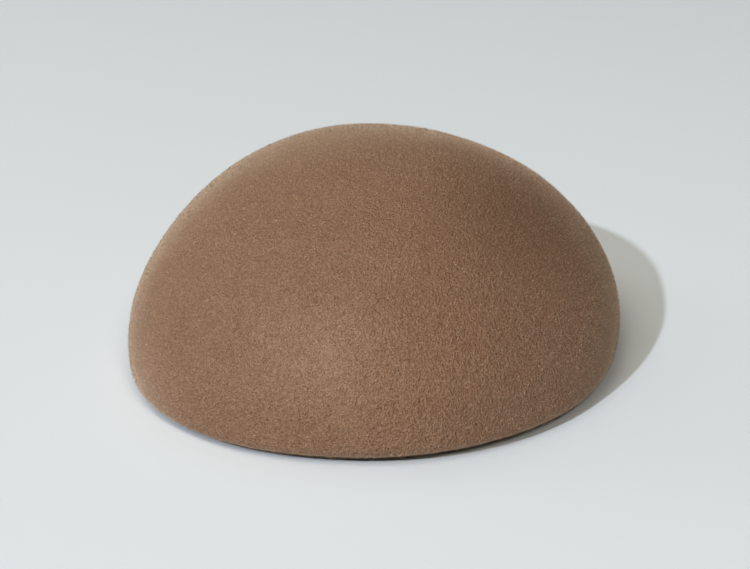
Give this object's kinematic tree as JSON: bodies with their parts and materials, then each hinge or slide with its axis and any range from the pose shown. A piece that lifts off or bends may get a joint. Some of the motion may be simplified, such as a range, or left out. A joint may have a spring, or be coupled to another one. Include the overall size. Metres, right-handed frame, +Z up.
{
  "type": "felt pillbox hat",
  "caption": "Brimless felt cap with a soft oval dome crown and an edge that turns under to an open head hole, resting on its edge.",
  "frame": {"origin": "bottom centre of the hat's box, on the surface it rests on", "axes": "+Z up, -Y towards the wearer's front, +Y along the long way of the head, +X to the wearer's left"},
  "size_m": [0.2168, 0.2516, 0.0973],
  "materials": {
    "camel_felt": "brushed wool felt with a short matt nap"
  },
  "bodies": {
    "root": {"felt_cap": "camel_felt"}
  },
  "joints": []
}
